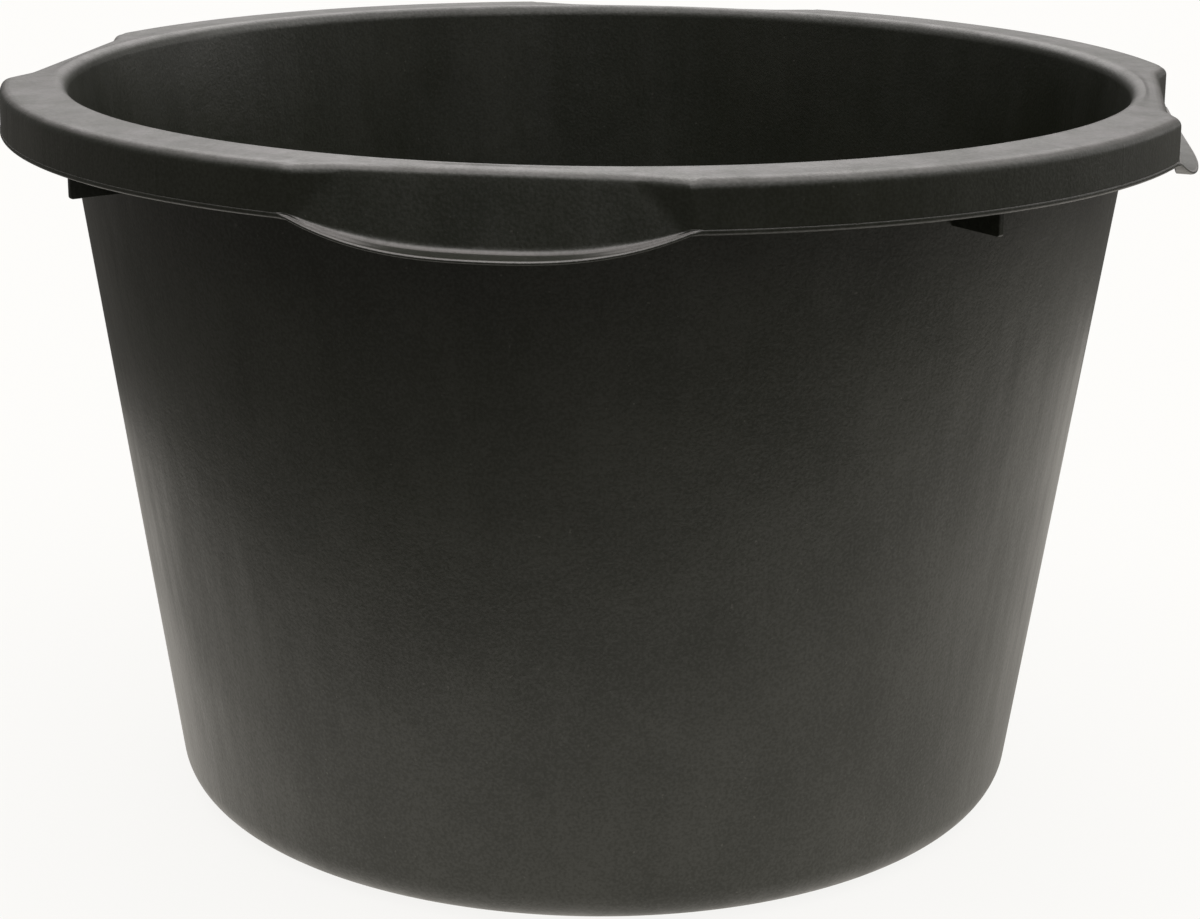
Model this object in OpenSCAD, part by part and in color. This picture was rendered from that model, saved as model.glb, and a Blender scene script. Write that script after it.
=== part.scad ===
// Round mortar mixing tub with a turned-down rim, four flat hand grips and four stacking ribs.
// Millimetres. The base stands on z = 0, +Z is up, and the front grip faces -Y.
// The tub is moulded in one piece: each node is one feature of the moulding, as its own solid.

/* [Tub body] */
// Height from the ground to the top of the rim
tub_h = 411; // [360:1:460]
// Outer radius of the wall, carried on to the top of the rim
wall_top_r = 297.7; // [285:0.1:300]
// Outer radius of the wall, carried on down to the ground
wall_base_r = 242; // [225:1:255]
// Thickness of the wall, floor and rim
wall_t = 3; // [2.5:0.1:3.5]
// Outer radius of the curve between floor and wall
base_curve_r = 24; // [16:1:32]
// Width of the flat foot ring that touches the ground
foot_w = 21; // [12:1:40]
// Height of the floor panel's underside above the ground
floor_lift = 2.4; // [1.2:0.1:2.4]

/* [Rim] */
// Radius of the rounded edge between the rim's top and the inside of the wall
mouth_round = 7.5; // [5:0.1:9]
// Outer radius of the rim between the grips
lobe_r = 330.5; // [329:0.5:331]
// Depth of the turned-down skirt, from the top of the rim
skirt_h = 26.5; // [20:0.5:32]
// Radius of the rounded shoulder between the rim's top and the skirt
shoulder_r = 6; // [4:0.5:8]
// Radius of the rounded bead along the skirt's lower edge
bead_r = 1.9; // [1.6:0.1:2.2]

/* [Hand grips] */
// Distance from the tub's axis to the top of a grip's flat face
grip_dist = 311.5; // [310:0.5:313]
// Slope of a grip's flat face, outwards from upright
grip_flare = 16; // [12:0.5:18]
// Half of the length of the flat face, along its top
grip_half_w = 71; // [60:1:78]
// Half of the distance between the outer ends of a grip's two steps
step_half_w = 93; // [90:1:98]
// Depth of a grip at its middle, from the top of the rim
grip_h = 40.5; // [34:0.5:46]
// Outer radius of the lip under a grip
lip_r = 332; // [331.5:0.5:335]
// Height of the lip's edge
lip_t = 3.2; // [2.6:0.1:5]

/* [Stacking ribs] */
// Outer radius of a rib below the skirt
rib_r = 324.5; // [315:0.5:326]
// Depth of a rib, from the top of the rim
rib_h = 39; // [34:0.5:48]
// Thickness of a rib
rib_t = 3; // [2:0.1:5]

/* [Hidden] */
$fn = 120;
SIDES = ["front", "right", "back", "left"];
CORNERS = ["front_right", "back_right", "back_left", "front_left"];

BODY_COLOUR = [0.13, 0.13, 0.11];
RIM_COLOUR = [0.2, 0.2, 0.18];
GRIP_COLOUR = [0.26, 0.25, 0.24];
RIB_COLOUR = [0.08, 0.08, 0.07];

// The wall leans outwards by this much for each millimetre of height
wall_lean = (wall_top_r - wall_base_r) / tub_h;
wall_angle = atan(wall_lean);
// Measured along the radius, the leaning wall is a little wider than its thickness
wall_span = wall_t / cos(wall_angle);
// Centre of the base curve, which touches both the ground and the wall
curve_x = wall_base_r + wall_lean * base_curve_r - base_curve_r / cos(wall_angle);
curve_top_z = base_curve_r * (1 - sin(wall_angle));
foot_in_r = curve_x - foot_w;
floor_top_z = floor_lift + wall_t;

// Radius where the rounded mouth edge ends and the flat top of the rim begins
mouth_z = tub_h - mouth_round;
mouth_r = wall_out(mouth_z) - wall_span + mouth_round;
shoulder_z = tub_h - shoulder_r;
skirt_z = tub_h - skirt_h;
skirt_in_r = lobe_r - wall_t;

// A grip reaches to this angle on each side of its middle, and a lobe fills the rest
grip_angle = asin(step_half_w / lobe_r);
lobe_angle = 90 - 2 * grip_angle;
step_y = lobe_r * cos(grip_angle);
step_lean = atan((step_y - grip_dist) / (step_half_w - grip_half_w));
// The lower edge of a grip is an arc through its two ends and its lowest point
smile_drop = grip_h - skirt_h;
smile_r = (pow(step_half_w, 2) + pow(smile_drop, 2)) / (2 * smile_drop);
smile_z = tub_h - grip_h + smile_r;
// Sizes of cutting shapes, which only have to be larger than what they cut
reach = 400;
notch_spare = 40;

// Outer radius of the wall at a height
function wall_out(z) = wall_base_r + wall_lean * z;

// Turns a shape that is made around +Y to a bearing: 0 is the front, -Y, and 90 is the right, +X
module face_to(bearing) {
    rotate([0, 0, bearing + 180]) children();
}

// Revolves a profile over the span of one lobe, centred on +Y
module sweep_lobe() {
    rotate_extrude(angle = lobe_angle, start = 90 - lobe_angle / 2) children();
}

// The section of what is cut away to round the shoulder, whose outer face is at x
module shoulder_waste(x) {
    translate([x - shoulder_r, 0])
        difference() {
            square(2 * shoulder_r);
            circle(r = shoulder_r);
        }
}

// The plan of everything inside a wedge of the given half angle around +Y
module wedge(half_angle) {
    x = reach * tan(half_angle);
    polygon([[0, 0], [x, reach], [-x, reach]]);
}

// The plan of the open space in front of a grip's top, moved inwards by inset
module notch_plan(inset) {
    y = grip_dist - inset;
    x = grip_half_w + inset * tan(step_lean / 2);
    end_x = step_half_w + notch_spare;
    end_y = y + (end_x - x) * tan(step_lean);
    polygon([[-end_x, reach], [-end_x, end_y], [-x, y], [x, y], [end_x, end_y], [end_x, reach]]);
}

// The same space below the shoulder, where a grip's face slopes outwards
module notch(inset) {
    depth = 2 * grip_h;
    intersection() {
        translate([0, 0, shoulder_z - depth]) linear_extrude(height = depth) notch_plan(inset);
        rotate([90, 0, 90])
            linear_extrude(height = 2 * reach, center = true)
                polygon([
                    [grip_dist - inset, shoulder_z],
                    [grip_dist - inset + depth * tan(grip_flare), shoulder_z - depth],
                    [reach, shoulder_z - depth],
                    [reach, shoulder_z]
                ]);
    }
}

// ---- Body ----

module floor_panel() {
    color(BODY_COLOUR)
        translate([0, 0, floor_lift]) cylinder(r = foot_in_r, h = wall_t);
}

module foot_ring() {
    ring_out = curve_x;
    color(BODY_COLOUR)
        rotate_extrude()
            polygon([
                [foot_in_r, 0],
                [ring_out, 0],
                [ring_out, wall_t],
                [foot_in_r + wall_t, wall_t],
                [foot_in_r + wall_t - 1, floor_top_z],
                [foot_in_r, floor_top_z]
            ]);
}

module base_curve() {
    wedge_end = 2 * base_curve_r;
    color(BODY_COLOUR)
        rotate_extrude()
            translate([curve_x, base_curve_r])
                intersection() {
                    difference() {
                        circle(r = base_curve_r);
                        circle(r = base_curve_r - wall_t);
                    }
                    polygon([
                        [0, 0],
                        [0, -wedge_end],
                        [wedge_end, -wedge_end],
                        [wedge_end, -wedge_end * tan(wall_angle)]
                    ]);
                }
}

module tub_wall() {
    // The lower end is square to the wall, where the base curve meets it
    low_in_z = curve_top_z + wall_t * sin(wall_angle);
    low_in_r = wall_out(curve_top_z) - wall_t * cos(wall_angle);
    color(BODY_COLOUR)
        rotate_extrude()
            polygon([
                [wall_out(curve_top_z), curve_top_z],
                [wall_out(mouth_z), mouth_z],
                [wall_out(mouth_z) - wall_span, mouth_z],
                [low_in_r, low_in_z]
            ]);
}

module mouth_edge() {
    color(RIM_COLOUR)
        rotate_extrude()
            translate([mouth_r, mouth_z])
                intersection() {
                    difference() {
                        circle(r = mouth_round);
                        circle(r = mouth_round - wall_t);
                    }
                    rotate(90) square(2 * mouth_round);
                }
}

// ---- Rim between the grips ----

module rim_top(bearing) {
    color(RIM_COLOUR)
        face_to(bearing)
            sweep_lobe()
                difference() {
                    polygon([
                        [mouth_r, tub_h],
                        [lobe_r, tub_h],
                        [lobe_r, shoulder_z],
                        [skirt_in_r, shoulder_z],
                        [skirt_in_r, tub_h - wall_t],
                        [mouth_r, tub_h - wall_t]
                    ]);
                    translate([0, shoulder_z]) shoulder_waste(lobe_r);
                }
}

module rim_skirt(bearing) {
    bead_x = lobe_r - wall_t / 2;
    color(RIM_COLOUR)
        face_to(bearing)
            sweep_lobe()
                union() {
                    translate([skirt_in_r, skirt_z + bead_r])
                        square([wall_t, shoulder_z - skirt_z - bead_r]);
                    translate([bead_x, skirt_z + bead_r]) circle(r = bead_r);
                }
}

// A plate that stands between the wall and the skirt, and stops the next tub from jamming
module stacking_rib(bearing) {
    under_top = tub_h - wall_t;
    low = tub_h - rib_h;
    color(RIB_COLOUR)
        face_to(bearing)
            rotate([90, 0, 90])
                translate([0, 0, -rib_t / 2])
                    linear_extrude(height = rib_t)
                        polygon([
                            [wall_out(low), low],
                            [rib_r, low],
                            [rib_r, skirt_z],
                            [skirt_in_r, skirt_z + 2 * bead_r],
                            [skirt_in_r, shoulder_z],
                            [mouth_r, under_top],
                            [wall_out(mouth_z), mouth_z]
                        ]);
}

// ---- Hand grips ----

// Rounds the shoulder along one straight stretch of a grip's outline
module shoulder_cut(x_start, length, lean) {
    translate([x_start, grip_dist, shoulder_z])
        rotate([0, 0, lean])
            rotate([90, 0, 90])
                linear_extrude(height = length) shoulder_waste(0);
}

module grip_top(bearing) {
    color(GRIP_COLOUR)
        face_to(bearing)
            difference() {
                translate([0, 0, shoulder_z])
                    linear_extrude(height = shoulder_r)
                        difference() {
                            intersection() {
                                circle(r = lobe_r);
                                wedge(grip_angle);
                            }
                            circle(r = mouth_r);
                            notch_plan(0);
                        }
                // The underside is open up to the plate, behind the skirt
                translate([0, 0, shoulder_z - 1])
                    linear_extrude(height = shoulder_r - wall_t + 1)
                        difference() {
                            circle(r = reach);
                            notch_plan(wall_t);
                        }
                shoulder_cut(-grip_half_w, 2 * grip_half_w, 0);
                for (side = [0, 1])
                    mirror([side, 0, 0]) shoulder_cut(grip_half_w, step_half_w, step_lean);
            }
}

// A drum lying across a grip, whose underside is the curve of the grip's lower edge
module smile_drum(r) {
    translate([0, reach, smile_z]) rotate([90, 0, 0]) cylinder(r = r, h = reach);
}

// The block that a grip's skirt and lip are cut from, out to a radius
module grip_block(r) {
    translate([0, 0, shoulder_z - grip_h])
        linear_extrude(height = grip_h)
            intersection() {
                circle(r = r);
                wedge(grip_angle);
            }
}

module grip_skirt(bearing) {
    color(GRIP_COLOUR)
        face_to(bearing)
            difference() {
                intersection() {
                    grip_block(lobe_r);
                    notch(wall_t);
                    smile_drum(smile_r);
                }
                notch(0);
            }
}

module grip_lip(bearing) {
    color(GRIP_COLOUR)
        face_to(bearing)
            difference() {
                intersection() {
                    grip_block(lip_r);
                    notch(0);
                    smile_drum(smile_r);
                }
                smile_drum(smile_r - lip_t);
            }
}

floor_panel();
foot_ring();
base_curve();
tub_wall();
mouth_edge();
for (i = [0 : 3]) {
    rim_top(90 * i + 45);
    rim_skirt(90 * i + 45);
    stacking_rib(90 * i + 45);
    grip_top(90 * i);
    grip_skirt(90 * i);
    grip_lip(90 * i);
}
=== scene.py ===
"""A one-piece black plastic mortar tub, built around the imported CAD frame."""

import math

import bmesh
import bpy
import numpy as np
from mathutils import Matrix, Vector


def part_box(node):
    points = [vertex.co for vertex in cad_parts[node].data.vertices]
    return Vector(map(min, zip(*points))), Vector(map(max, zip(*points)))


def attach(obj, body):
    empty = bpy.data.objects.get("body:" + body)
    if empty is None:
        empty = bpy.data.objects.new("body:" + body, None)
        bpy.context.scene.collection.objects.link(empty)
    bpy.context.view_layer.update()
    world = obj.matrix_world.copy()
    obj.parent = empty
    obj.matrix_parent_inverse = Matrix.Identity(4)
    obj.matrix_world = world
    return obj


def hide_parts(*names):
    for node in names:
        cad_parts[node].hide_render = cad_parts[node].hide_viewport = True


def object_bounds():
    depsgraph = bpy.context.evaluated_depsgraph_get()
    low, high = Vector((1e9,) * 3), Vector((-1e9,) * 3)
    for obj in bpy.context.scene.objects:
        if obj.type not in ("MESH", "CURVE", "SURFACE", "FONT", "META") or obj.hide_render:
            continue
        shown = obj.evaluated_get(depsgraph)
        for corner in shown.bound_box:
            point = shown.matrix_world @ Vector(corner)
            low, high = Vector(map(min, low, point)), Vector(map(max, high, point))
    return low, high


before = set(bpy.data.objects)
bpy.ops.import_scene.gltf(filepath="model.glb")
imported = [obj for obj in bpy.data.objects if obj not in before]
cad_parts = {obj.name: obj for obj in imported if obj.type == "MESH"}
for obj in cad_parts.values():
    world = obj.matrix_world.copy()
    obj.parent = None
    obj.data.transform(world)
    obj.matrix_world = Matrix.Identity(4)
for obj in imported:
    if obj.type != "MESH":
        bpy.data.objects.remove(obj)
cad_low, cad_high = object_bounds()

MM = 0.001
SIDES = ("front", "right", "back", "left")
CORNERS = ("front_right", "back_right", "back_left", "front_left")


# ---- Sizes, read from the CAD frame. Radii are from the tub's axis, and z = 0 is the ground ----

def node_points(name):
    """All the vertices of a CAD node, as rows of x, y, z."""
    return np.array([v.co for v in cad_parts[name].data.vertices])


top_z = cad_high.z
floor_low, floor_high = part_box("floor_panel")
wall_t = floor_high.z - floor_low.z
foot_in_r = floor_high.x
curve_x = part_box("foot_ring")[1].x
wall_low, wall_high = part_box("tub_wall")
wall_low_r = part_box("base_curve")[1].x
wall_lean = (wall_high.x - wall_low_r) / (wall_high.z - wall_low.z)
wall_angle = math.atan(wall_lean)
wall_span = wall_t / math.cos(wall_angle)
curve_r = wall_low.z / (1 - math.sin(wall_angle))
mouth_z = wall_high.z
mouth_round = top_z - mouth_z
mouth_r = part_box("mouth_edge")[1].x

lobe_low, lobe_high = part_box("rim_top_front_right")
grip_angle = math.asin(lobe_low.x / mouth_r)
lobe_r = lobe_high.x / math.cos(grip_angle)
skirt_low, skirt_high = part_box("rim_skirt_front_right")
skirt_z = skirt_low.z
shoulder_z = skirt_high.z
shoulder_r = top_z - shoulder_z
bead_out_r = skirt_high.x / math.cos(grip_angle)
bead_r = bead_out_r - lobe_r + wall_t / 2

face_points = node_points("grip_skirt_front")
face_top = face_points[face_points[:, 2] > shoulder_z - 0.1 * MM]
grip_dist = np.abs(face_top[:, 1]).min() + wall_t
chord_ends = face_top[np.abs(np.abs(face_top[:, 1]) - grip_dist) < 0.05 * MM]
grip_half_w = np.abs(chord_ends[:, 0]).max()
step_half_w = lobe_r * math.sin(grip_angle)
step_slope = (lobe_r * math.cos(grip_angle) - grip_dist) / (step_half_w - grip_half_w)
lip_low, lip_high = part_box("grip_lip_front")
lip_r = -lip_low.y
face_low_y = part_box("grip_skirt_front")[0].y
flare = (-face_low_y - grip_dist) / (shoulder_z - lip_low.z)
smile_drop = skirt_z - lip_low.z
smile_r = (step_half_w ** 2 + smile_drop ** 2) / (2 * smile_drop)
smile_z = lip_low.z + smile_r
lip_t = smile_r - math.hypot(lip_high.x, smile_z - lip_high.z)

# A rib's lower outer edge has two corners, one thickness apart, at the same radius
rib_points = node_points("stacking_rib_front_right")
rib_low_z = rib_points[:, 2].min()
rib_along = (rib_points[:, 0] - rib_points[:, 1]) / math.sqrt(2)
rib_out_r = rib_along[rib_points[:, 2] < rib_low_z + 0.1 * MM].max()
rib_t = np.ptp(rib_points[:, 0] + rib_points[:, 1]) / math.sqrt(2)

# Softening that the CAD solids leave out
LOBE_DRAFT = 0.02          # the skirt leans outwards by this much for each unit of depth
STEP_BLEND = 1.2 * MM      # how softly a grip's flat face turns into its steps
LOBE_BLEND = 0.9 * MM      # how softly a step turns into the lobe
TOP_DISH = 0.2 * MM        # how far the top of the rim sinks between its edges
TOP_FALL = 0.5 * MM        # how far the top of a lobe falls from its inner edge to its shoulder
GRIP_SINK = 0.5 * MM       # how much further the top of a grip falls
CREASE_BEGINS = 17.4       # from the middle of a grip to where its top begins to sink, in degrees
CREASE_FULL = 16.6         # and to where it has sunk
LEAN_SPAN = 4 * MM         # the lean of the rim's outer face at the shoulder is taken over this height
SMILE_POWER = 2.6          # the lower edge of a grip is flatter in the middle than a circle
LIP_BEGINS = 17.5          # from the middle of a grip to where its lip begins, in degrees
LIP_FULL = 16.2            # and to where it is at its full width
LIP_FILLET = 3.2 * MM      # the fillet above the lip, where the ledge has room for it
LIP_TAPER = 1.0 * MM       # the lip's edge is thinner than the lip by this much
LIP_RISE = 1.0 * MM        # the lip's upper side rises this much from its edge to its root
LIP_NOSE = 2.0 * MM        # how far in from the lip's edge its rounding begins
FILLET_SHARE = 0.6         # the fillet takes up no more than this share of the ledge
FILLET_DROP = 0.3          # and this share of the ledge's rise lies within the fillet
INNER_EDGE = 1.0 * MM      # rounding of a grip's lower inner edge
SEAM_BEARING = 30.0        # from the middle of a grip to a faint mould line on the skirt, in degrees
SEAM_HALF_W = 0.12         # also in degrees
SEAM_H = 0.12 * MM
LEAST_LEDGE = 0.25 * MM    # the narrowest ledge, above the skirt's bead
RIB_CORNER = 1.5 * MM      # rounding of a rib's lower outer corner
RIB_EDGE = 0.5 * MM        # rounding of a rib's other edges
RIB_ROOT = 1.5 * MM        # how far a rib reaches into the wall
FOOT_EDGE = 1.2 * MM       # rounding of the foot ring's inner edge
STEP_DROP = 1.2 * MM       # how far the middle of the step round the floor lies below its top
HUB_R = 20 * MM            # the innermost ring of vertices, round the middle of the floor


# ---- Small mesh tools ----

def spaced(count):
    """Evenly spaced numbers from 0 to 1, as a column that broadcasts against the bearings."""
    return np.linspace(0, 1, count)[:, None]


def mix(a, b, share):
    return a + (b - a) * share


def smooth_step(low, high, x):
    u = np.clip((x - low) / (high - low), 0, 1)
    return u * u * (3 - 2 * u)


def soft_min(a, b, width):
    """The smaller of two values, rounded off where they are nearly equal."""
    near = np.maximum(width - np.abs(a - b), 0) / width
    return np.minimum(a, b) - near * near * width / 4


def soft_max(a, b, width):
    return -soft_min(-a, -b, width)


def arc(centre_r, centre_z, radius, start, stop, count):
    """Points along an arc in the profile plane; angles are in radians above outwards."""
    turn = mix(start, stop, spaced(count))
    return centre_r + radius * np.cos(turn), centre_z + radius * np.sin(turn)


def line(r0, z0, r1, z1, count):
    share = spaced(count)
    return mix(r0, r1, share), mix(z0, z1, share)


def bend(p0, p1, p2, count):
    """A curve from p0 to p2 that leaves towards p1 and arrives from it."""
    u = spaced(count)
    return tuple((1 - u) ** 2 * a + 2 * u * (1 - u) * b + u * u * c for a, b, c in zip(p0, p1, p2))


def join(stretches, count):
    """Stacks profile stretches, leaving out each start that repeats the last end."""
    radii, heights = [], []
    for i, (r, z) in enumerate(stretches):
        first = 1 if i else 0
        rows = max(len(np.atleast_2d(r)), len(np.atleast_2d(z)))
        radii.append(np.broadcast_to(r, (rows, count))[first:])
        heights.append(np.broadcast_to(z, (rows, count))[first:])
    return np.vstack(radii), np.vstack(heights)


# ---- The tub's surface, as a profile at every bearing ----

def bearing_list():
    """Bearings in degrees round the tub, closer together at the ends of the grips."""
    half = np.concatenate([
        np.arange(0, 11, 1.0),
        np.arange(11, 19, 0.25),
        np.linspace(19, 45, 25),
        SEAM_BEARING + SEAM_HALF_W * np.array([-2, -1, 0, 1, 2]),
    ])
    half = np.unique(np.append(half, math.degrees(grip_angle)))
    quarter = np.concatenate([-half[::-1], half[1:]])[:-1]
    return np.concatenate([quarter + 90 * i for i in range(4)])


bearings = bearing_list()
offset = np.radians(np.abs((bearings + 45) % 90 - 45))
N = len(bearings)


def face_radius(z):
    """Radius of the rim's outer face at a height, at every bearing."""
    depth = shoulder_z - z
    chord = (grip_dist + flare * depth) / np.cos(offset)
    step = (grip_dist - grip_half_w * step_slope) / (np.cos(offset) - step_slope * np.sin(offset))
    lobe = lobe_r - LOBE_DRAFT * (z - skirt_z)
    off_seam = np.abs(np.degrees(offset) - SEAM_BEARING) / SEAM_HALF_W
    seam = SEAM_H * np.maximum(1 - off_seam / 2, 0)
    return soft_min(lobe, soft_max(chord, step, STEP_BLEND), LOBE_BLEND) + seam


def rim_top(lean):
    """The flat top and the rounded shoulder, and the height at which the shoulder ends."""
    centre_r = face_radius(shoulder_z) - shoulder_r / np.cos(lean)

    # The top sinks a little between its two edges and falls a little towards the shoulder,
    # and the top of a grip falls a little more, with a crease where its steps begin
    crease = smooth_step(math.radians(CREASE_BEGINS), math.radians(CREASE_FULL), offset)
    fall = TOP_FALL + GRIP_SINK * crease
    across = spaced(14)
    top_r, level = line(mouth_r, top_z, centre_r, top_z, len(across))
    top_zs = level - TOP_DISH * np.sin(np.pi * across) ** 2 - fall * across
    sunk_round = shoulder_r - fall
    turn = mix(math.pi / 2, lean, spaced(12))
    shoulder = (centre_r + shoulder_r * np.cos(turn), shoulder_z + sunk_round * np.sin(turn))
    return [(top_r, top_zs), shoulder], shoulder_z + sunk_round * np.sin(lean)


def rim_face_and_edge(in_grip, low_z, face_start_z):
    """Down the outer face, out along the ledge above the bead or lip, and round its edge."""
    edge_r = mix(bead_out_r, lip_r, in_grip)
    half_t = mix(bead_r, (lip_t - LIP_TAPER) / 2, in_grip)
    nose = mix(bead_r, LIP_NOSE, in_grip)

    face_low_r = face_radius(low_z + 2 * half_t)
    ledge_end = np.maximum(edge_r - nose, face_low_r + LEAST_LEDGE)
    start = np.arccos(np.clip((ledge_end - edge_r + nose) / nose, 0, 0.999))
    meet_z = low_z + half_t + half_t * np.sin(start)
    root_z = meet_z + LIP_RISE * in_grip
    root_r = face_radius(root_z)
    fillet = np.clip(FILLET_SHARE * (ledge_end - root_r), 0.1 * MM, LIP_FILLET)
    face_end_z = root_z + fillet
    fillet_end_z = root_z - FILLET_DROP * (root_z - meet_z)

    face_z = mix(face_start_z, face_end_z, spaced(16))
    face = (np.array([face_radius(z) for z in face_z]), face_z)
    ledge_fillet = bend((face_radius(face_end_z), face_end_z), (root_r, root_z),
                        (root_r + fillet, fillet_end_z), 9)
    ledge = line(root_r + fillet, fillet_end_z, ledge_end, meet_z, 3)
    turn = mix(start, -math.pi / 2, spaced(14))
    edge_round = (edge_r - nose + nose * np.cos(turn), low_z + half_t + half_t * np.sin(turn))
    return [face, ledge_fillet, ledge, edge_round]


def rim_underside(in_grip, low_z):
    """Up the inside of the skirt, and in along the underside of the rim."""
    round_in = mix(bead_r, INNER_EDGE, in_grip)
    inner_low_r = face_radius(low_z) - wall_t - mix(bead_r - wall_t / 2, 0, in_grip)
    edge_in = arc(inner_low_r + round_in, low_z + round_in, round_in, -math.pi / 2, -math.pi, 6)
    inner_z = mix(low_z + 2 * round_in, shoulder_z, spaced(8))
    inner = (np.array([face_radius(z) for z in inner_z]) - wall_t, inner_z)
    under_z = top_z - wall_t
    corner_r = shoulder_r - wall_t
    inner_top_r = face_radius(shoulder_z) - wall_t
    corner = arc(inner_top_r - corner_r, under_z - corner_r, corner_r, 0, math.pi / 2, 5)
    under = line(inner_top_r - corner_r, under_z, mouth_r, under_z, 8)
    return [edge_in, inner, corner, under]


def rim_profile():
    """From the inner edge of the flat top, over the rim, and back under it."""
    slope = (face_radius(shoulder_z - LEAN_SPAN) - face_radius(shoulder_z)) / LEAN_SPAN
    top, face_start_z = rim_top(np.arctan(slope))

    # The lower edge is a bead along the skirt, which swells into the lip under a grip
    in_grip = smooth_step(math.radians(LIP_BEGINS), math.radians(LIP_FULL), offset)
    across = np.minimum(face_radius(skirt_z) * np.sin(offset) / step_half_w, 1)
    low_z = skirt_z - smile_drop * (1 - across ** SMILE_POWER)
    edge = rim_face_and_edge(in_grip, low_z, face_start_z)
    return join(top + edge + rim_underside(in_grip, low_z), N)


def wall_out(z):
    """Outer radius of the wall at a height."""
    return wall_low_r + wall_lean * (z - wall_low.z)


def inside_profile():
    """From the middle of the floor, up the inside of the wall, to the flat top."""
    floor_z = floor_high.z
    step_r = foot_in_r + wall_t - 1 * MM
    step_start = (step_r - 1 * MM, floor_z)
    step_middle = (step_r + 0.5 * MM, floor_z - STEP_DROP)
    step_end = (step_r + 3 * MM, wall_t)
    curve_in = curve_r - wall_t
    wall_end = (curve_x + curve_in * math.cos(wall_angle), curve_r - curve_in * math.sin(wall_angle))
    return join([
        line(HUB_R, floor_z, *step_start, 12),
        bend(step_start, (step_r, floor_z), step_middle, 5),
        bend(step_middle, (step_r + 1 * MM, wall_t), step_end, 5),
        line(*step_end, curve_x, wall_t, 5),
        arc(curve_x, curve_r, curve_in, -math.pi / 2, -wall_angle, 14),
        line(*wall_end, wall_out(mouth_z) - wall_span, mouth_z, 26),
        arc(mouth_r, mouth_z, mouth_round, math.pi, math.pi / 2, 12),
    ], N)


def outside_profile():
    """From under the rim, down the outside of the wall, to the middle of the underside."""
    return join([
        arc(mouth_r, mouth_z, mouth_round - wall_t, math.pi / 2, math.pi, 8),
        line(wall_out(mouth_z), mouth_z, wall_low_r, wall_low.z, 26),
        arc(curve_x, curve_r, curve_r, -wall_angle, -math.pi / 2, 16),
        line(curve_x, 0, foot_in_r + FOOT_EDGE, 0, 4),
        bend((foot_in_r + FOOT_EDGE, 0), (foot_in_r, 0), (foot_in_r, FOOT_EDGE), 5),
        bend((foot_in_r, FOOT_EDGE), (foot_in_r, floor_low.z), (foot_in_r - FOOT_EDGE, floor_low.z), 4),
        line(foot_in_r - FOOT_EDGE, floor_low.z, HUB_R, floor_low.z, 10),
    ], N)


def to_points(radii, heights):
    """Profile rows to points: rows run along the profile and columns round the tub."""
    turn = np.radians(bearings)
    return np.stack([radii * np.sin(turn), -radii * np.cos(turn), heights], axis=-1)


def grid_normals(points):
    """Unit normals of a grid that closes round the tub."""
    round_way = np.roll(points, -1, axis=1) - np.roll(points, 1, axis=1)
    along = np.empty_like(points)
    along[1:-1] = points[2:] - points[:-2]
    along[0] = points[1] - points[0]
    along[-1] = points[-1] - points[-2]
    normals = np.cross(round_way, along)
    length = np.linalg.norm(normals, axis=-1, keepdims=True)
    return normals / np.maximum(length, 1e-12)


inside = inside_profile()
rim = rim_profile()
outside = outside_profile()
whole_r = np.vstack([inside[0], rim[0][1:-1], outside[0]])
whole_z = np.vstack([inside[1], rim[1][1:-1], outside[1]])
points = to_points(whole_r, whole_z)
normals = grid_normals(points)
rim_start = len(inside[0]) - 1
rim_end = rim_start + len(rim[0]) - 1


def face_outwards(mesh):
    """Turns every face of a closed mesh so that its front is on the outside."""
    shell = bmesh.new()
    shell.from_mesh(mesh)
    bmesh.ops.recalc_face_normals(shell, faces=shell.faces)
    shell.to_mesh(mesh)
    shell.free()
    mesh.update()


def closed_mesh(name, verts, faces):
    """A smooth mesh round a solid, with the fronts of its faces outside."""
    mesh = bpy.data.meshes.new(name)
    mesh.from_pydata([tuple(v) for v in verts], [], faces)
    mesh.validate()
    face_outwards(mesh)
    for polygon in mesh.polygons:
        polygon.use_smooth = True
    return mesh


def add_object(name, data):
    obj = bpy.data.objects.new(name, data)
    bpy.context.scene.collection.objects.link(obj)
    return obj


def make_piece(name, verts, faces, vert_normals, flat_faces):
    """A piece with the given smooth normals, except on the flat cut faces at the end of its list."""
    mesh = closed_mesh(name, verts, faces)
    first_flat = len(mesh.polygons) - flat_faces
    loop_normals = [None] * len(mesh.loops)
    for polygon in mesh.polygons:
        for i in polygon.loop_indices:
            smooth = Vector(vert_normals[mesh.loops[i].vertex_index])
            towards = smooth if smooth.dot(polygon.normal) > 0 else -smooth
            loop_normals[i] = tuple(polygon.normal if polygon.index >= first_flat else towards)
    mesh.normals_split_custom_set(loop_normals)
    obj = add_object(name, mesh)
    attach(obj, "root")
    return obj


def body_piece():
    """Floor, wall and mouth, which is everything but the rim and the ribs."""
    keep = list(range(rim_start + 1)) + list(range(rim_end, len(points)))
    grid = points[keep]
    rows = len(grid)
    verts = np.vstack([grid.reshape(-1, 3), [[0, 0, floor_high.z], [0, 0, floor_low.z]]])
    vert_normals = np.vstack([normals[keep].reshape(-1, 3), [[0, 0, 1], [0, 0, -1]]])
    faces = []
    flats = []
    for row in range(rows - 1):
        group = flats if row == rim_start else faces
        for c in range(N):
            d = (c + 1) % N
            group.append((row * N + c, row * N + d, (row + 1) * N + d, (row + 1) * N + c))
    top_pole, low_pole = rows * N, rows * N + 1
    for c in range(N):
        d = (c + 1) % N
        faces.append((top_pole, d, c))
        faces.append((low_pole, (rows - 1) * N + c, (rows - 1) * N + d))
    return make_piece("tub_body", verts, faces + flats, vert_normals, len(flats))


def column_at(bearing):
    """The column nearest to a bearing."""
    return int(np.argmin(np.abs((bearings - bearing + 180) % 360 - 180)))


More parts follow.
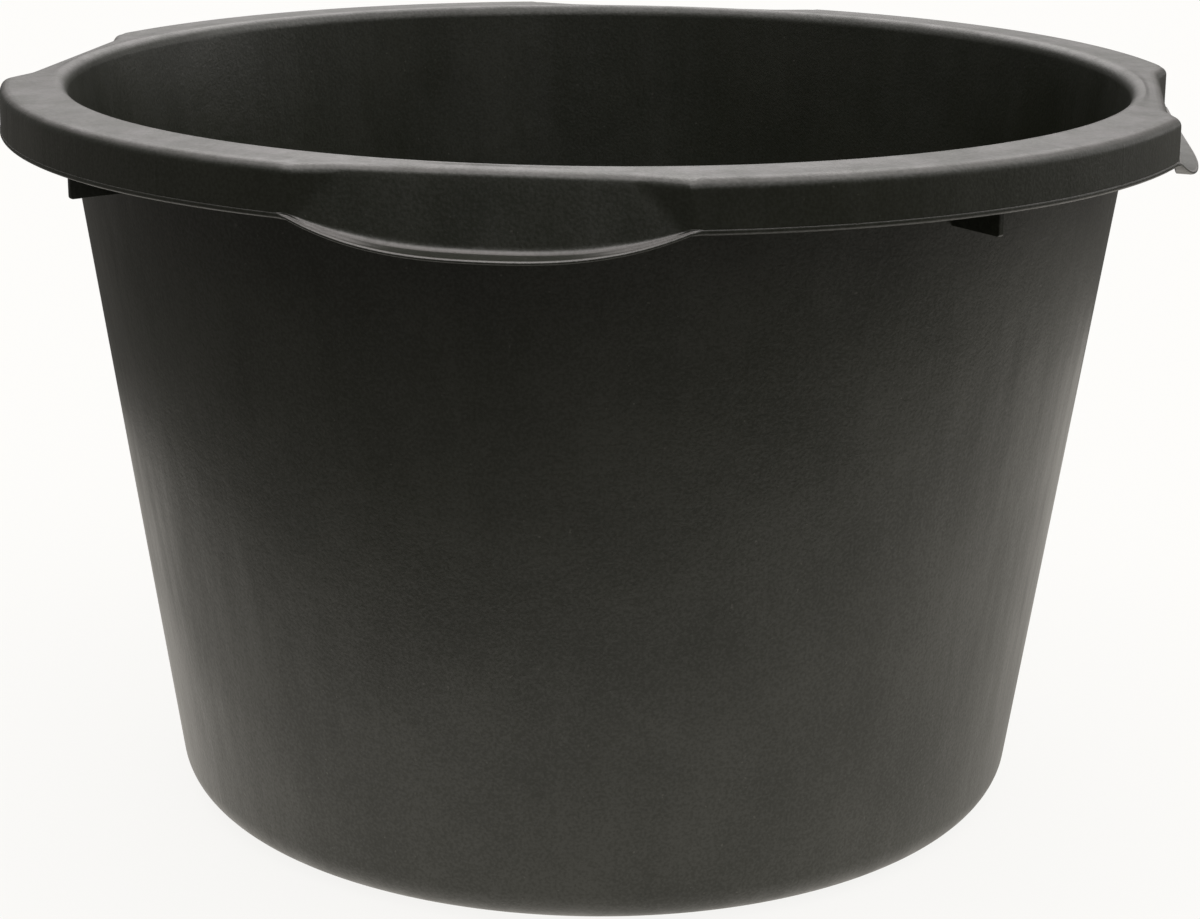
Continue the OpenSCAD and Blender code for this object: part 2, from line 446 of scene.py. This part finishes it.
def rim_piece(name, start, stop):
    """One stretch of the rim, between two bearings in degrees."""
    first, last = column_at(start), column_at(stop)
    if last < first:
        last += N
    columns = [c % N for c in range(first, last + 1)]
    rows = rim_end - rim_start + 1
    wide = len(columns)
    grid = points[rim_start:rim_end + 1][:, columns]
    faces = []
    flats = []
    for row in range(rows - 1):
        for c in range(wide - 1):
            here, below = row * wide + c, (row + 1) * wide + c
            faces.append((here, here + 1, below + 1, below))
    last_row = (rows - 1) * wide
    for c in range(wide - 1):
        flats.append((last_row + c, last_row + c + 1, c + 1, c))
    flats.append(tuple(row * wide for row in range(rows)))
    flats.append(tuple(row * wide + wide - 1 for row in reversed(range(rows))))
    vert_normals = normals[rim_start:rim_end + 1][:, columns].reshape(-1, 3)
    return make_piece(name, grid.reshape(-1, 3), faces + flats, vert_normals, len(flats))


body = body_piece()
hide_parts("floor_panel", "foot_ring", "base_curve", "tub_wall", "mouth_edge")
pieces = [body]
end_turn = math.degrees(grip_angle)
for i, side in enumerate(SIDES):
    grip = rim_piece("hand_grip_" + side, 90 * i - end_turn, 90 * i + end_turn)
    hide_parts("grip_top_" + side, "grip_skirt_" + side, "grip_lip_" + side)
    pieces.append(grip)
for i, corner in enumerate(CORNERS):
    lobe = rim_piece("rim_lobe_" + corner, 90 * i + end_turn, 90 * i + 90 - end_turn)
    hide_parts("rim_top_" + corner, "rim_skirt_" + corner)
    pieces.append(lobe)


def rib_outline(low_z, out_r):
    """A rib's outline as x and z: up the skirt's side, in under the rim's top and down the wall."""
    under_z = top_z - wall_t
    skirt_in_r = lobe_r - wall_t
    turn = np.linspace(-math.pi / 2, 0, 7)
    corner_x = out_r - RIB_CORNER + RIB_CORNER * np.cos(turn)
    corner_z = low_z + RIB_CORNER + RIB_CORNER * np.sin(turn)
    outline = list(zip(corner_x, corner_z))
    outline += [(out_r, skirt_z), (skirt_in_r, skirt_z + 2 * bead_r), (skirt_in_r, shoulder_z)]
    outline += [(skirt_in_r - shoulder_r + wall_t, under_z), (mouth_r, under_z)]
    outline += [(wall_out(mouth_z) - RIB_ROOT, mouth_z), (wall_out(low_z) - RIB_ROOT, low_z)]
    return outline


def rib_piece(corner, bearing):
    """The plate under a lobe, standing along the radius, with its edges rounded off."""
    outline = rib_outline(rib_low_z, rib_out_r)
    turn = math.radians(bearing)
    outwards = np.array([math.sin(turn), -math.cos(turn), 0])
    sideways = np.array([math.cos(turn), math.sin(turn), 0])
    up = np.array([0, 0, 1])
    count = len(outline)
    verts = [outwards * x + up * z + sideways * side * rib_t / 2
             for side in (-1, 1) for x, z in outline]
    faces = [tuple(range(count)), tuple(reversed(range(count, 2 * count)))]
    faces += [(i + count, (i + 1) % count + count, (i + 1) % count, i) for i in range(count)]
    obj = add_object("rib_" + corner, closed_mesh("rib_" + corner, verts, faces))
    bevel = obj.modifiers.new("edges", "BEVEL")
    bevel.width = RIB_EDGE
    bevel.segments = 3
    bevel.harden_normals = True
    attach(obj, "root")
    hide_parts("stacking_rib_" + corner)
    return obj


for i, corner in enumerate(CORNERS):
    pieces.append(rib_piece(corner, 90 * i + 45))


# ---- Material ----

PLASTIC_DARK = (0.0064, 0.0078, 0.0032, 1)
PLASTIC_LIGHT = (0.0092, 0.0106, 0.0052, 1)
PLASTIC_WORN = (0.055, 0.052, 0.052, 1)      # where the rim's top is scuffed
# The next colour is a painted highlight on the outward edges that face up, where there is also some
# wear
PLASTIC_PAINTED_HIGHLIGHT = (0.13, 0.125, 0.121, 1)       # on the outward edges that look bright in the photo
PLASTIC_FLECK = (0.06, 0.058, 0.05, 1)
ROUGH_LOW = 0.37
ROUGH_HIGH = 0.47
SPECKLE = 0.08             # how far the specular level strays from 0.5

# The features of a noise are about 1 / scale metres across
GRAIN_SCALE = 620
FLECK_SCALE = 330
PEEL_SCALE = 210
STREAK_SCALE = 70
STREAK_STRETCH = 0.06      # the streaks' scale along z, as a share of their scale across
SCRATCH_SCALE = 42
MOTTLE_SCALE = 16
BLOTCH_SCALE = 5.5

# How high each noise stands at its strongest
GRAIN_H = 0.09 * MM
PEEL_H = 0.09 * MM
STREAK_H = 0.25 * MM
MOTTLE_H = 0.6 * MM


def add_node(tree, kind, links=None, **settings):
    """Adds a shader node, sets its properties or inputs by name, and links sockets to its inputs."""
    node = tree.nodes.new(kind)
    for name, value in settings.items():
        setattr(node, name, value)
    for name, value in (links or {}).items():
        if isinstance(value, bpy.types.NodeSocket):
            tree.links.new(value, node.inputs[name])
        else:
            node.inputs[name].default_value = value
    return node


def add_noise(tree, place, scale, detail, roughness=0.5):
    """A noise from 0 to 1; detail and roughness say how much finer noise is laid over it."""
    sockets = {"Vector": place, "Scale": scale, "Detail": detail, "Roughness": roughness}
    return add_node(tree, "ShaderNodeTexNoise", sockets).outputs["Fac"]


def add_range(tree, value, low, high, to_low=0.0, to_high=1.0):
    """Takes the range low to high to the range to_low to to_high, smoothly and with ends held."""
    sockets = {"Value": value, "From Min": low, "From Max": high, "To Min": to_low, "To Max": to_high}
    node = add_node(tree, "ShaderNodeMapRange", sockets, interpolation_type="SMOOTHSTEP")
    return node.outputs["Result"]


def add_math(tree, operation, a, b):
    return add_node(tree, "ShaderNodeMath", {0: a, 1: b}, operation=operation).outputs[0]


def add_mix(tree, share, a, b):
    """Mixes two colours."""
    node = add_node(tree, "ShaderNodeMix", data_type="RGBA")
    for socket, value in zip((node.inputs[0], node.inputs[6], node.inputs[7]), (share, a, b)):
        if isinstance(value, bpy.types.NodeSocket):
            tree.links.new(value, socket)
        else:
            socket.default_value = value
    return node.outputs[2]


def times(tree, a, b):
    return add_math(tree, "MULTIPLY", a, b)


def plus(tree, a, b):
    return add_math(tree, "ADD", a, b)


def scuff_and_painted_highlight_shares(tree, place):
    """How much each spot is scuffed, and how much it is an outward edge with a painted highlight and
    some wear, both from 0 to 1.
    """
    height = add_node(tree, "ShaderNodeSeparateXYZ", {"Vector": place}).outputs["Z"]
    level_place = add_node(tree, "ShaderNodeVectorMath", {0: place, 1: (1, 1, 0)},
                           operation="MULTIPLY").outputs[0]
    radius = add_node(tree, "ShaderNodeVectorMath", {0: level_place},
                      operation="LENGTH").outputs["Value"]
    facing = add_node(tree, "ShaderNodeNewGeometry").outputs["Normal"]
    upness = add_node(tree, "ShaderNodeSeparateXYZ", {"Vector": facing}).outputs["Z"]
    scratches = add_noise(tree, place, SCRATCH_SCALE, 4, 0.7)

    # Handling and stacking have scuffed the top of the rim paler than the rest
    rim_top_share = times(tree, add_range(tree, height, top_z - shoulder_r, top_z - 1 * MM),
                          add_range(tree, upness, 0.5, 0.95))
    scuff = times(tree, rim_top_share, add_range(tree, scratches, 0.3, 0.75))

    # The outward edges that face up (shoulder, bead and lips) get a pale painted highlight, with some
    # wear, but flat faces don't
    sloping = times(tree, add_range(tree, upness, 0.5, 0.75),
                    add_range(tree, upness, 0.93, 0.99, 1.0, 0.0))
    outer = add_range(tree, radius, mouth_r + 5 * MM, mouth_r + 8 * MM)
    low_more = add_range(tree, height, skirt_z + 4 * MM, skirt_z + 9 * MM, 1.0, 0.35)
    patchy = add_range(tree, scratches, 0.2, 0.6, 0.55, 1.0)
    edge = times(tree, times(tree, sloping, outer), times(tree, low_more, patchy))
    return scuff, edge


def plastic_colour(tree, place, mottle):
    scuff, edge = scuff_and_painted_highlight_shares(tree, place)
    flecks = add_range(tree, add_noise(tree, place, FLECK_SCALE, 1), 0.76, 0.8)
    dark = add_mix(tree, add_range(tree, mottle, 0.3, 0.7), PLASTIC_DARK, PLASTIC_LIGHT)
    worn = add_mix(tree, scuff, dark, PLASTIC_WORN)
    # The pale edge colour laid on here is a painted highlight, partly wear
    with_painted_highlight = add_mix(tree, edge, worn, PLASTIC_PAINTED_HIGHLIGHT)
    return add_mix(tree, times(tree, flecks, 0.5), with_painted_highlight, PLASTIC_FLECK)


def plastic_roughness(tree, place, streaks):
    blotch = add_noise(tree, place, BLOTCH_SCALE, 2, 0.6)
    uneven = plus(tree, times(tree, streaks, 0.45), times(tree, blotch, 0.55))
    return add_range(tree, uneven, 0.36, 0.64, ROUGH_LOW, ROUGH_HIGH)


def plastic_speckle(tree, grain, mottle):
    """The grain also shows as a fine speckle in what the plastic reflects."""
    uneven = plus(tree, times(tree, grain, 0.7), times(tree, mottle, 0.3))
    return add_range(tree, uneven, 0.35, 0.65, 0.5 - SPECKLE, 0.5 + SPECKLE)


def plastic_relief(tree, place, grain, streaks, mottle):
    """Fine grain, a soft orange peel, and long shallow waves in the wall."""
    peel = add_noise(tree, place, PEEL_SCALE, 2)
    fine = plus(tree, times(tree, grain, GRAIN_H), times(tree, peel, PEEL_H))
    broad = plus(tree, times(tree, streaks, STREAK_H), times(tree, mottle, MOTTLE_H))
    sockets = {"Height": plus(tree, fine, broad), "Strength": 1.0, "Distance": 1.0}
    return add_node(tree, "ShaderNodeBump", sockets).outputs["Normal"]


def make_plastic():
    """Near-black moulded plastic: satin, faintly mottled and streaked, with a scuffed rim and a painted
    highlight on its outward edges that face up.
    """
    material = bpy.data.materials.new("moulded_black_plastic")
    material.use_nodes = True
    tree = material.node_tree
    shader = tree.nodes["Principled BSDF"].inputs
    place = add_node(tree, "ShaderNodeTexCoord").outputs["Object"]
    grain = add_noise(tree, place, GRAIN_SCALE, 1)
    mottle = add_noise(tree, place, MOTTLE_SCALE, 3, 0.55)

    # Marks from the mould run up the wall, so this noise is stretched along z
    tall = add_node(tree, "ShaderNodeMapping",
                    {"Vector": place, "Scale": (1, 1, STREAK_STRETCH)}).outputs["Vector"]
    streaks = add_noise(tree, tall, STREAK_SCALE, 3, 0.6)

    tree.links.new(plastic_colour(tree, place, mottle), shader["Base Color"])
    tree.links.new(plastic_roughness(tree, place, streaks), shader["Roughness"])
    tree.links.new(plastic_speckle(tree, grain, mottle), shader["Specular IOR Level"])
    tree.links.new(plastic_relief(tree, place, grain, streaks, mottle), shader["Normal"])
    return material


plastic = make_plastic()
for piece in pieces:
    piece.data.materials.append(plastic)


# ---- Studio ----

# The camera sees a plain pale floor and backdrop
BACKDROP = (0.974, 0.966, 0.949, 1)
FLOOR_GLOW = (0.893, 0.886, 0.870, 1)
FLOOR_SHADE = (0.056, 0.056, 0.055, 1)
FLOOR_HALF_W = 12.0        # in metres

# The tub mirrors a bright round sheet on the floor, and round lamps in a dim room
SHEET_TURN = 35            # from straight behind the tub to the middle of the sheet, in degrees
SHEET_BACK = 0.3           # from the tub to the middle of the sheet, in metres
SHEET_R = 0.755
SHEET_FADE = 0.12          # the sheet's edge fades out over this width
SHEET_COLOUR = (1.0, 0.95, 0.88, 1)
SHEET_LIGHT = 1.1
ROOM_LIGHT = 0.17
LAMP_COLOUR = (1.0, 0.968, 0.95, 1)
# Azimuth, elevation, angle to full and to no light, all in degrees, and strength
LAMPS = (
    (0, 47, 11, 41, 3.0),
    (90, 47, 8, 30, 2.8),
    (160, 47, 6, 28, 2.2),
    (-90, 47, 8, 30, 1.2),
    (-150, 78, 10, 30, 2.8),
    (70, 2, 8, 40, 1.2),
)

# Where the camera stands, in metres, and how it is turned, in radians
CAMERA_BEARING = math.radians(9.2)
CAMERA_DISTANCE = 1.4862
CAMERA_HEIGHT = 0.6266
CAMERA_PITCH = 0.2904
CAMERA_ROLL = 0.0086
CAMERA_YAW = 0.0014
CAMERA_LENS = 79.28        # in millimetres, on a sensor of 36


def lamp_direction(azimuth, elevation):
    """A direction from the tub. Azimuth 0 is straight away from the camera, and 90 to its right."""
    turn = math.radians(azimuth) - CAMERA_BEARING
    rise = math.radians(elevation)
    return math.sin(turn) * math.cos(rise), math.cos(turn) * math.cos(rise), math.sin(rise)


def add_emission(tree, colour, strength):
    return add_node(tree, "ShaderNodeEmission", {"Color": colour, "Strength": strength}).outputs[0]


def add_shader_mix(tree, share, a, b):
    return add_node(tree, "ShaderNodeMixShader", {0: share, 1: a, 2: b}).outputs[0]


def floor_material():
    """Pale to the camera. The tub mirrors a bright round sheet, and a dim room outside it."""
    material = bpy.data.materials.new("pale_floor")
    material.use_nodes = True
    tree = material.node_tree
    tree.nodes.remove(tree.nodes["Principled BSDF"])
    glow = add_emission(tree, FLOOR_GLOW, 1.0)
    shade = add_node(tree, "ShaderNodeBsdfDiffuse", {"Color": FLOOR_SHADE}).outputs[0]
    pale = add_node(tree, "ShaderNodeAddShader", {0: glow, 1: shade}).outputs[0]

    place = add_node(tree, "ShaderNodeTexCoord").outputs["Object"]
    sheet_centre = Vector(lamp_direction(SHEET_TURN, 0)) * SHEET_BACK
    distance = add_node(tree, "ShaderNodeVectorMath", {0: place, 1: sheet_centre},
                        operation="DISTANCE").outputs["Value"]
    beyond = add_range(tree, distance, SHEET_R, SHEET_R + SHEET_FADE)
    sheet = add_emission(tree, SHEET_COLOUR, SHEET_LIGHT)
    room = add_emission(tree, SHEET_COLOUR, ROOM_LIGHT)
    mirrored = add_shader_mix(tree, beyond, sheet, room)

    shown = add_node(tree, "ShaderNodeLightPath").outputs["Is Camera Ray"]
    surface = add_shader_mix(tree, shown, mirrored, pale)
    tree.links.new(surface, tree.nodes["Material Output"].inputs["Surface"])
    return material


def make_floor():
    half = FLOOR_HALF_W
    corners = [(-half, -half, 0), (half, -half, 0), (half, half, 0), (-half, half, 0)]
    mesh = bpy.data.meshes.new("studio_floor")
    mesh.from_pydata(corners, [], [(0, 1, 2, 3)])
    mesh.materials.append(floor_material())
    floor = add_object("studio_floor", mesh)


def make_world():
    """Soft round lamps far away in a dim room, behind a plain backdrop that only the camera sees."""
    world = bpy.data.worlds.new("studio")
    bpy.context.scene.world = world
    world.use_nodes = True
    tree = world.node_tree
    direction = add_node(tree, "ShaderNodeTexCoord").outputs["Generated"]
    light = ROOM_LIGHT
    for azimuth, elevation, inner, outer, strength in LAMPS:
        lamp = lamp_direction(azimuth, elevation)
        towards = add_node(tree, "ShaderNodeVectorMath", {0: direction, 1: lamp},
                           operation="DOT_PRODUCT").outputs["Value"]
        low, high = math.cos(math.radians(outer)), math.cos(math.radians(inner))
        light = plus(tree, add_range(tree, towards, low, high, 0.0, strength), light)
    shown = add_node(tree, "ShaderNodeLightPath").outputs["Is Camera Ray"]
    lamps = add_node(tree, "ShaderNodeBackground", {"Color": LAMP_COLOUR, "Strength": light}).outputs[0]
    backdrop = add_node(tree, "ShaderNodeBackground", {"Color": BACKDROP, "Strength": 1.0}).outputs[0]
    surface = add_shader_mix(tree, shown, lamps, backdrop)
    tree.links.new(surface, tree.nodes["World Output"].inputs["Surface"])


def make_camera():
    """A camera about where the photo's was, from a fit to the tub's outlines."""
    data = bpy.data.cameras.new("camera")
    data.lens = CAMERA_LENS
    data.sensor_width = 36.0
    camera = add_object("camera", data)
    ahead = Vector((math.sin(CAMERA_YAW) * math.cos(CAMERA_PITCH),
                    math.cos(CAMERA_YAW) * math.cos(CAMERA_PITCH),
                    -math.sin(CAMERA_PITCH)))
    right = Vector((math.cos(CAMERA_YAW), -math.sin(CAMERA_YAW), 0))
    up = right.cross(ahead)
    rolled_right = right * math.cos(CAMERA_ROLL) + up * math.sin(CAMERA_ROLL)
    rolled_up = up * math.cos(CAMERA_ROLL) - right * math.sin(CAMERA_ROLL)
    axes = Matrix((rolled_right, rolled_up, -ahead)).transposed().to_4x4()
    place = Matrix.Translation((0, -CAMERA_DISTANCE, CAMERA_HEIGHT))
    camera.matrix_world = Matrix.Rotation(CAMERA_BEARING, 4, "Z") @ place @ axes
    bpy.context.scene.camera = camera


make_floor()
make_world()
make_camera()
bpy.context.scene.view_settings.view_transform = "Standard"
